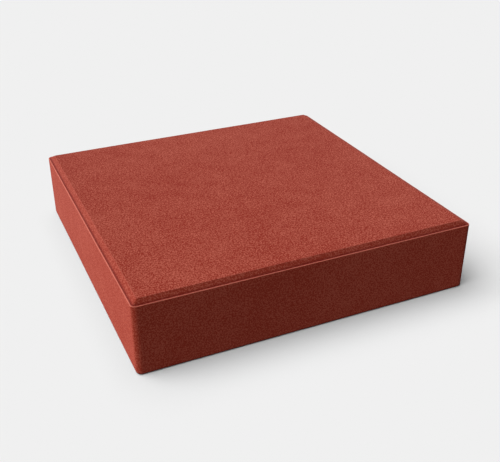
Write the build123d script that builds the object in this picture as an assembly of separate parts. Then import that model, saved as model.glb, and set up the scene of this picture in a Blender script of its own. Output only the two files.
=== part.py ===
"""Square concrete paving stone with a bevelled walking face, in millimetres.

The stone lies on its bed at z = 0, with the walking face up and the origin under its centre.
From the bed up it is a plain square block, a narrow level ledge, and a bevel that rises from
the ledge to the walking face. It is pressed in one go, so it is one solid.
"""

import math
import os

from build123d import *

# Block: the upright faces, from the bed to the ledge
plan_side = 300.0  # across two opposite upright faces, the same both ways
thickness = 65.0  # bed to walking face
upright_corner_radius = 4.0  # rounding of the four upright corners, seen in plan
bed_arris_radius = 1.0  # rounding where the upright faces meet the bed

# Face: what the press plate shapes on top of the block
ledge_width = 1.5  # level strip between the upright faces and the foot of the bevel
bevel_run = 4.5  # width of the bevel, seen in plan
bevel_drop = 3.0  # height of the walking face above the ledge
mitre_radius = 1.0  # rounding of the four mitres where two bevels meet
ledge_arris_radius = 0.4  # rounding of the ledge's outer edge
face_arris_radius = 0.5  # rounding where the bevel meets the walking face

# Worked-out sizes
ledge_height = thickness - bevel_drop
bevel_foot_side = plan_side - 2 * ledge_width
bevel_taper = math.degrees(math.atan2(bevel_run, bevel_drop))


def edges_at_height(solid, height):
    """The edges of a solid that lie level at one height."""
    return solid.edges().filter_by_position(Axis.Z, height, height)


def make_block():
    """The square body up to the ledge, with its corners and its two level arrises rounded."""
    outline = RectangleRounded(plan_side, plan_side, upright_corner_radius)
    block = extrude(outline, amount=ledge_height)
    block = fillet(edges_at_height(block, ledge_height), ledge_arris_radius)
    return fillet(edges_at_height(block, 0), bed_arris_radius)


def make_raised_face():
    """The low frustum that stands on the ledge: four bevels, rounded mitres and the walking face."""
    foot = Plane.XY.offset(ledge_height) * Rectangle(bevel_foot_side, bevel_foot_side)
    frustum = extrude(foot, amount=bevel_drop, taper=bevel_taper)
    level_edges = edges_at_height(frustum, ledge_height) + edges_at_height(frustum, thickness)
    mitres = frustum.edges() - level_edges
    frustum = fillet(mitres, mitre_radius)
    return fillet(edges_at_height(frustum, thickness), face_arris_radius)


def make_paving_stone():
    """The whole stone as one solid."""
    stone = make_block() + make_raised_face()
    return stone.solid()


os.makedirs("parts", exist_ok=True)
export_step(make_paving_stone(), "parts/paving_stone.step")
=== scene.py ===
import math
import bmesh
import bpy
from mathutils import Matrix, Vector, noise


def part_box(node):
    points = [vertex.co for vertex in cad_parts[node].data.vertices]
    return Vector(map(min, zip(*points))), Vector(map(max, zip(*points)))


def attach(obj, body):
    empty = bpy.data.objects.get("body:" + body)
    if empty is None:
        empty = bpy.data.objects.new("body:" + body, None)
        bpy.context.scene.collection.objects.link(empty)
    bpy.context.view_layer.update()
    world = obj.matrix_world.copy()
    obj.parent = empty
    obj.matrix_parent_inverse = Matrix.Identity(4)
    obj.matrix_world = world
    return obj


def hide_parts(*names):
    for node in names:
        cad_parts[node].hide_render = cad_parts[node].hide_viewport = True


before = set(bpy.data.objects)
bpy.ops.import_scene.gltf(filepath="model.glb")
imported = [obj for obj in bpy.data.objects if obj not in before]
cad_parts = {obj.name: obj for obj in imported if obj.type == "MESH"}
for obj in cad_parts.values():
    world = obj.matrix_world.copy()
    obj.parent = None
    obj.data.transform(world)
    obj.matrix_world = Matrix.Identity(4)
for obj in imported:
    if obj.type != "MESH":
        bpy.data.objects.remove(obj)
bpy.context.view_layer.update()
stoneLow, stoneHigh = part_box("paving_stone")
mm = 0.001
print("frame loaded:", *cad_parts, [round(x, 4) for x in (*stoneLow, *stoneHigh)])


def linearColor(hexText):  # sRGB hex to the linear colour that the shader wants
    shares = [int(hexText[i:i + 2], 16) / 255 for i in (1, 3, 5)]
    linear = [c / 12.92 if c <= 0.04045 else ((c + 0.055) / 1.055) ** 2.4 for c in shares]
    return (*linear, 1.0)


def addNode(tree, kind, inputs, **settings):  # inputs holds plain values and sockets to link from
    node = tree.nodes.new(kind)
    for name, value in settings.items():
        setattr(node, name, value)
    for name, value in inputs.items():
        if isinstance(value, bpy.types.NodeSocket):
            tree.links.new(value, node.inputs[name])
        else:
            node.inputs[name].default_value = value
    return node


# The stone's mesh: a grid for the walking face, then ring after ring down to the bed, then a grid for the bed
stoneSizes = {  # millimetres, as in the part's source apart from the bed's arris
    "ledgeWidth": 1.5,
    "bevelRun": 4.5,
    "bevelDrop": 3.0,
    "cornerRadius": 4.0,
    "mitreRadius": 1.0,
    "arrises": {  # radius, and its tone: 1 is worn pale with a painted highlight, -1 is painted shade
        "face": (0.5, 0.4),
        "ledge": (0.4, 1.0),
        "bed": (2.0, -1.0),  # worn back from the source's 1 mm, which leaves a dark line under the foot, deepened by painted shade
    },
    # painted shade along the foot of the bevel
    "bevelFootShade": -1.0,
    "ledgeRimDepth": 0.1,  # points this close below the ledge belong to its rim, which is worn pale with a painted highlight too
    "arrisSegments": 3,
    "cellSize": 1.5,  # mesh spacing on the faces that show
    "bevelRows": 3,
    "bedMargin": 9.0,  # strip of the bed that turns the rounded outline into a square grid
    "bedMarginRows": 3,
    "relief": {  # height and width of each kind of unevenness
        "swell": (0.10, 70.0),  # slow rise and fall of a pressed face
        "ripple": (0.02, 12.0),
        "sand": (0.012, 3.0),
        "crumble": (0.04, 3.5),  # along the rubbed arrises only
        "bedPits": (0.25, 9.0),  # hollows in the bed, where the mix lay on the pallet
    },
    "crumbleLoss": 0.012,  # how far a rubbed arris stands back on the whole
    "reliefShift": (31.7, -12.3, 7.9),  # each kind reads the noise this many widths on from the last
}
levelSlope = 0.99  # normals steeper than this, up or down, are on the walking face and the bed
bedSlope = -0.5  # normals below this are on the bed, which only moves up and so stays out of the floor


def ringPoint(spot, half, radius, height):
    # spot is a place on the rim of a square from -1 to 1; it lands on a square with rounded corners
    onSide = abs(spot.x) > abs(spot.y)
    along, out = (spot.y, spot.x) if onSide else (spot.x, spot.y)
    straight = half - radius
    walk = abs(along) * (straight + radius * math.pi / 4)
    turn = max(0.0, walk - straight) / radius if radius else 0.0
    along = math.copysign(min(walk, straight) + radius * math.sin(turn), along)
    out = math.copysign(straight + radius * math.cos(turn), out)
    return Vector((out, along, height)) if onSide else Vector((along, out, height))


def growRing(bm, spotLayer, half, radius, height, rows):  # gives back the rim that it grew from
    rim = [e for e in bm.edges if e.is_boundary]
    grown = bmesh.ops.extrude_edge_only(bm, edges=rim)["geom"]
    newVerts = [v for v in grown if isinstance(v, bmesh.types.BMVert)]
    for v in newVerts:
        v.co = ringPoint(v[spotLayer], half, radius, height)
    if rows > 1:
        across = [e for v in newVerts for e in v.link_edges if not e.is_boundary]
        bmesh.ops.subdivide_edges(bm, edges=across, cuts=rows - 1, use_grid_fill=True)
    return rim


def putInOrder(elements, key):  # the operators number what they make differently from run to run
    for rank, element in enumerate(sorted(elements, key=key)):
        element.index = rank
    elements.sort()  # by index


def buildStone(sizes):
    half = (stoneHigh.x - stoneLow.x) / 2
    top = stoneHigh.z
    ledgeHeight = top - sizes["bevelDrop"] * mm
    footHalf = half - sizes["ledgeWidth"] * mm
    faceHalf = footHalf - sizes["bevelRun"] * mm
    bedHalf = half - sizes["bedMargin"] * mm
    mitre = sizes["mitreRadius"] * mm
    corner = sizes["cornerRadius"] * mm
    cell = sizes["cellSize"] * mm
    faceCells = 2 * round(faceHalf / cell)
    bedArris, _ = sizes["arrises"]["bed"]
    lastRow = 2 * bedArris * mm  # high enough to hold the bed's arris

    bm = bmesh.new()
    bmesh.ops.create_grid(bm, x_segments=faceCells, y_segments=faceCells, size=faceHalf)
    bmesh.ops.translate(bm, verts=bm.verts, vec=(0, 0, top))
    spotLayer = bm.verts.layers.float_vector.new("spot")
    for v in bm.verts:
        v[spotLayer] = Vector((v.co.x / faceHalf, v.co.y / faceHalf, 0))
        if v.is_boundary:
            v.co = ringPoint(v[spotLayer], faceHalf, mitre, top)
    faceLoop = growRing(bm, spotLayer, footHalf, mitre, ledgeHeight, sizes["bevelRows"])
    footLoop = growRing(bm, spotLayer, half, corner, ledgeHeight, 1)
    ledgeLoop = growRing(bm, spotLayer, half, corner, lastRow, round((ledgeHeight - lastRow) / cell))
    growRing(bm, spotLayer, half, corner, 0, 1)
    bedLoop = growRing(bm, spotLayer, bedHalf, 0, 0, sizes["bedMarginRows"])

    # The bed is a grid with cells twice as wide, one such cell in from the last ring and joined to it
    bedCells = faceCells // 2
    bed = bmesh.ops.create_grid(bm, x_segments=bedCells, y_segments=bedCells, size=bedHalf - 2 * cell)
    bmesh.ops.reverse_faces(bm, faces=list({f for v in bed["verts"] for f in v.link_faces}))
    bmesh.ops.bridge_loops(bm, edges=[e for e in bm.edges if e.is_boundary])

    wearAndPaintedLightLayer = bm.verts.layers.float.new("wearAndPaintedLight")
    # Painted shade along the foot of the bevel
    for e in footLoop:
        e.smooth = False
        for v in e.verts:
            v[wearAndPaintedLightLayer] = sizes["bevelFootShade"]
    bevelTurn = math.atan2(sizes["bevelDrop"], sizes["bevelRun"])
    squareTurn = math.pi / 2
    arrises = {"face": (faceLoop, bevelTurn), "ledge": (ledgeLoop, squareTurn), "bed": (bedLoop, squareTurn)}
    for name, (loop, turn) in arrises.items():
        radius, wearAndPaintedLight = sizes["arrises"][name]
        rounded = bmesh.ops.bevel(
            bm, geom=loop, offset=radius * mm * math.tan(turn / 2), offset_type="OFFSET",
            segments=sizes["arrisSegments"], profile=0.5, affect="EDGES", material=-1,
            clamp_overlap=False, loop_slide=True,
        )
        strip = set(rounded["faces"])
        # Each arris gets its tone: worn pale with a painted highlight above 0, painted shade below 0
        for v in rounded["verts"]:
            onLedge = name == "ledge" and v.co.z > ledgeHeight - sizes["ledgeRimDepth"] * mm
            if onLedge or strip.issuperset(v.link_faces):
                v[wearAndPaintedLightLayer] = wearAndPaintedLight

    bmesh.ops.recalc_face_normals(bm, faces=bm.faces)
    for f in bm.faces:
        f.smooth = True
    putInOrder(bm.verts, lambda v: [round(x / mm, 3) for x in v.co])
    putInOrder(bm.faces, lambda f: sorted(v.index for v in f.verts))
    bm.normal_update()
    levelLayer = bm.verts.layers.float.new("level")  # 1 on the walking face and the bed, 0 elsewhere
    for v in bm.verts:
        v[levelLayer] = float(abs(v.normal.z) > levelSlope)
    return bm


def unevenness(place, kind, sizes):
    height, width = sizes["relief"][kind]
    shift = Vector(sizes["reliefShift"]) * (1 + list(sizes["relief"]).index(kind))
    return height * mm * noise.noise(place / (width * mm) + shift)


def roughenStone(bm, sizes):
    wearAndPaintedLightLayer = bm.verts.layers.float["wearAndPaintedLight"]
    moves = []
    for v in bm.verts:
        rise = sum(unevenness(v.co, kind, sizes) for kind in ("swell", "ripple", "sand"))
        crumble = unevenness(v.co, "crumble", sizes) - sizes["crumbleLoss"] * mm
        rise += max(0.0, v[wearAndPaintedLightLayer]) * crumble
        rise += max(0.0, -v.normal.z) * max(0.0, unevenness(v.co, "bedPits", sizes))
        moves.append(rise * v.normal if v.normal.z > bedSlope else Vector((0, 0, abs(rise))))
    for v, move in zip(bm.verts, moves):
        v.co += move


stoneMesh = bpy.data.meshes.new("pavingStone")
bm = buildStone(stoneSizes)
roughenStone(bm, stoneSizes)
openEdges = sum(not e.is_manifold for e in bm.edges)
triangles = sum(len(f.verts) - 2 for f in bm.faces)
bm.to_mesh(stoneMesh)
bm.free()
pavingStone = bpy.data.objects.new("pavingStone", stoneMesh)
bpy.context.scene.collection.objects.link(pavingStone)
evenNormals = pavingStone.modifiers.new("evenNormals", "WEIGHTED_NORMAL")
evenNormals.keep_sharp = True
print("stone mesh:", triangles, "triangles,", openEdges, "open edges")

# Pressed concrete, coloured through with red iron oxide: dull, with fine sand close under a skin of paste
concreteLook = {
    "pasteRed": "#9a2813",  # paste between the grains
    "sandRed": "#c5604c",  # grains that the paste covers thinly
    "sandShare": 0.4,  # how much of the surface they take up
    "wearAndHighlightRed": "#ea806d",  # worn pale arrises, with a painted highlight
    "paintedShadeRed": "#750400",  # painted shade in the foot of the bevel and under the bed's arris
    "balance": 0.3,  # a lower one lets more paste show
    "speck": (0.7, 2.5),  # single grains: width in millimetres and contrast
    "mottle": {  # the same for what is wider
        # Clusters of grains. Real sand is half as wide and would not show. A width that divides the
        # stone's thickness and half its side keeps the noise crisp on the flat faces.
        "grain": (1.25, 6.0),
        "smudge": (16.0, 0.9),
        "patch": (28.0, 0.6),
        "cloud": (75.0, 0.6),
    },
    "mottleDetail": 1.0,
    "grainHeight": 0.08,  # millimetres, as bump
    "uprightGrainShare": 0.68,  # share of the grain's contrast that upright faces keep; the walking face's stronger grain is painted grain shading
    "wearAndHighlight": 1.0,  # how strongly wear and the painted highlight show
    "paintedShade": -0.8,  # how strongly the painted shade shows, where the value is below 0
    "roughness": 0.9,
    "specular": 0.2,
}


def pressedConcrete(look):
    material = bpy.data.materials.new("pressedRedConcrete")
    material.use_nodes = True
    tree = material.node_tree
    shader = tree.nodes["Principled BSDF"]
    place = addNode(tree, "ShaderNodeTexCoord", {}).outputs["Object"]

    # Grains show pale in the paste; slow patches shift how much of them it covers
    width, contrast = look["speck"]
    balance = look["balance"] - (contrast + sum(layer[1] for layer in look["mottle"].values())) / 2
    speck = addNode(tree, "ShaderNodeTexVoronoi", {"Vector": place, "Scale": 1 / (width * mm)})
    inputs = {0: speck.outputs["Color"], 1: contrast, 2: balance}
    tone = addNode(tree, "ShaderNodeMath", inputs, operation="MULTIPLY_ADD").outputs[0]
    mottle = {}
    for name, (width, contrast) in look["mottle"].items():
        inputs = {"Vector": place, "Scale": 1 / (width * mm), "Detail": look["mottleDetail"]}
        mottle[name] = addNode(tree, "ShaderNodeTexNoise", inputs).outputs["Fac"]
        inputs = {0: mottle[name], 1: contrast, 2: tone}
        tone = addNode(tree, "ShaderNodeMath", inputs, operation="MULTIPLY_ADD").outputs[0]
    tone = addNode(tree, "ShaderNodeClamp", {"Value": tone}).outputs[0]

    # The walking face keeps the grain's full contrast and upright faces less: painted grain shading, for the
    # stronger shade that low lamps throw among the grains of the walking face
    level = addNode(tree, "ShaderNodeAttribute", {}, attribute_name="level").outputs["Fac"]
    inputs = {0: level, 1: 1 - look["uprightGrainShare"], 2: look["uprightGrainShare"]}
    crisp = addNode(tree, "ShaderNodeMath", inputs, operation="MULTIPLY_ADD").outputs[0]
    tone = addNode(tree, "ShaderNodeMix", {0: crisp, 2: look["sandShare"], 3: tone}).outputs[0]

    # With colours to mix, sockets 6 and 7 are the two colours and output 2 is the result
    inputs = {0: tone, 6: linearColor(look["pasteRed"]), 7: linearColor(look["sandRed"])}
    red = addNode(tree, "ShaderNodeMix", inputs, data_type="RGBA").outputs[2]
    # Worn pale arrises with a painted highlight, and painted shade in the bevel's foot and under the bed's
    # arris
    wearAndPaintedLight = addNode(tree, "ShaderNodeAttribute", {}, attribute_name="wearAndPaintedLight").outputs["Fac"]
    for amount, color in (("wearAndHighlight", "wearAndHighlightRed"), ("paintedShade", "paintedShadeRed")):
        inputs = {0: wearAndPaintedLight, 1: look[amount]}
        share = addNode(tree, "ShaderNodeMath", inputs, operation="MULTIPLY", use_clamp=True).outputs[0]
        inputs = {0: share, 6: red, 7: linearColor(look[color])}
        red = addNode(tree, "ShaderNodeMix", inputs, data_type="RGBA").outputs[2]
    tree.links.new(red, shader.inputs["Base Color"])

    # Bump for what is finer than the mesh: the grains stand a little proud
    inputs = {"Height": mottle["grain"], "Distance": look["grainHeight"] * mm, "Strength": 1.0}
    bump = addNode(tree, "ShaderNodeBump", inputs)
    tree.links.new(bump.outputs["Normal"], shader.inputs["Normal"])
    shader.inputs["Roughness"].default_value = look["roughness"]
    shader.inputs["Specular IOR Level"].default_value = look["specular"]
    return material


stoneMesh.materials.append(pressedConcrete(concreteLook))
pavingStone.visible_diffuse = False  # keeps the stone's red off the pale floor
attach(pavingStone, "root")
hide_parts("paving_stone")
print("stone dressed")


def seenDirectly(tree):  # 1 for the camera, mirrors and glass, 0 for light that bounces
    path = addNode(tree, "ShaderNodeLightPath", {}).outputs
    seen = path["Is Camera Ray"]
    for ray in ("Is Glossy Ray", "Is Transmission Ray"):
        seen = addNode(tree, "ShaderNodeMath", {0: seen, 1: path[ray]}, operation="MAXIMUM").outputs[0]
    return seen


# Floor: a pale sheet that throws little light back at the stone
floorLook = {
    "size": 40.0,  # metres
    "paper": "#f0f0f0",
    "bounce": 0.032,  # what the floor throws back at the stone
}


def makeFloor(look):
    floorMesh = bpy.data.meshes.new("floor")
    bm = bmesh.new()
    bmesh.ops.create_grid(bm, x_segments=1, y_segments=1, size=look["size"] / 2)
    bm.to_mesh(floorMesh)
    bm.free()
    floor = bpy.data.objects.new("floor", floorMesh)
    bpy.context.scene.collection.objects.link(floor)
    material = bpy.data.materials.new("paleFloor")
    material.use_nodes = True
    tree = material.node_tree
    tree.nodes.clear()
    bounce = addNode(tree, "ShaderNodeEmission", {"Strength": look["bounce"]}).outputs[0]
    paper = addNode(tree, "ShaderNodeBsdfDiffuse", {"Color": linearColor(look["paper"])}).outputs[0]
    either = addNode(tree, "ShaderNodeMixShader", {0: seenDirectly(tree), 1: bounce, 2: paper})
    addNode(tree, "ShaderNodeOutputMaterial", {"Surface": either.outputs[0]})
    floorMesh.materials.append(material)
    return floor


floor = makeFloor(floorLook)

# Light: wide soft lamps. At level 1, a face that is square to the lamp shows its colour as it is written.
# As with screens in a studio, three lamps reach only the stone and two only the floor, for a short shadow.
lampLook = {  # degrees; azimuth 0 is -X, 90 is +Y
    "back": {"azimuth": 60, "elevation": 15, "spread": 40, "level": 1.0, "reaches": "stone"},
    "left": {"azimuth": -21.5, "elevation": 21, "spread": 40, "level": 0.565, "reaches": "stone"},
    "right": {"azimuth": 150, "elevation": 25, "spread": 40, "level": 0.59, "reaches": "stone"},
    "over": {"azimuth": 0, "elevation": 60, "spread": 60, "level": 0.805, "reaches": "floor"},
    "high": {"azimuth": 60, "elevation": 75, "spread": 60, "level": 0.274, "reaches": "floor"},
}
worldLook = {
    "room": 0.038,  # light from all round
    "backdrop": "#f0f0f0",
}


def onlyFor(name, piece):
    group = bpy.data.collections.new(name)
    group.objects.link(piece)
    return group


def addLamp(name, look, groups):
    data = bpy.data.lights.new(name, "SUN")
    data.energy = look["level"] * math.pi
    data.angle = math.radians(look["spread"])
    # Bounced rays don't see the stone, so only shadow rays may look for the lamp
    data.cycles.use_multiple_importance_sampling = False
    lamp = bpy.data.objects.new(name, data)
    bpy.context.scene.collection.objects.link(lamp)
    azimuth, elevation = math.radians(look["azimuth"]), math.radians(look["elevation"])
    level = math.cos(elevation)
    toLamp = Vector((-math.cos(azimuth) * level, math.sin(azimuth) * level, math.sin(elevation)))
    lamp.rotation_mode = "QUATERNION"
    lamp.rotation_quaternion = toLamp.to_track_quat("Z", "Y")
    lamp.light_linking.receiver_collection = groups[look["reaches"]]


def makeWorld(look):
    world = bpy.data.worlds.new("room")
    bpy.context.scene.world = world
    world.use_nodes = True
    tree = world.node_tree
    tree.nodes.clear()
    white = linearColor("#ffffff")
    room = addNode(tree, "ShaderNodeBackground", {"Color": white, "Strength": look["room"]}).outputs[0]
    inputs = {"Color": linearColor(look["backdrop"]), "Strength": 1.0}
    backdrop = addNode(tree, "ShaderNodeBackground", inputs).outputs[0]
    either = addNode(tree, "ShaderNodeMixShader", {0: seenDirectly(tree), 1: room, 2: backdrop})
    addNode(tree, "ShaderNodeOutputWorld", {"Surface": either.outputs[0]})


groups = {"stone": onlyFor("litStone", pavingStone), "floor": onlyFor("litFloor", floor)}
for name, look in lampLook.items():
    addLamp(name, look, groups)
makeWorld(worldLook)
print("floor and lamps placed")

# Camera, solved from the stone's edges in the photograph
cameraLook = {
    "azimuth": -24.164,  # degrees, as the next two
    "elevation": 28.707,
    "roll": -0.277,
    "distance": 740.37,  # millimetres from the middle of the bed, as the next two
    "aimRight": 9.32,
    "aimUp": 13.64,
    "focalPixels": 754.9,
    "framePixels": 500.0,
    "sensorWidth": 36.0,  # millimetres
    "nearest": 10.0,  # millimetres
}


def placeCamera(look):
    data = bpy.data.cameras.new("camera")
    data.sensor_width = look["sensorWidth"]
    data.lens = look["focalPixels"] / look["framePixels"] * look["sensorWidth"]
    data.clip_start = look["nearest"] * mm
    camera = bpy.data.objects.new("camera", data)
    bpy.context.scene.collection.objects.link(camera)
    azimuth, elevation, roll = (math.radians(look[k]) for k in ("azimuth", "elevation", "roll"))
    level = math.cos(elevation)
    back = Vector((math.sin(azimuth) * level, -math.cos(azimuth) * level, math.sin(elevation)))
    right = Vector((0, 0, 1)).cross(back).normalized()
    right = Matrix.Rotation(roll, 3, back) @ right
    up = back.cross(right)
    place = look["distance"] * back + look["aimRight"] * right + look["aimUp"] * up
    turn = Matrix((right, up, back)).transposed().to_4x4()
    camera.matrix_world = Matrix.Translation(place * mm) @ turn
    return camera


bpy.context.scene.camera = placeCamera(cameraLook)
bpy.context.scene.view_settings.view_transform = "Standard"
print("camera placed")
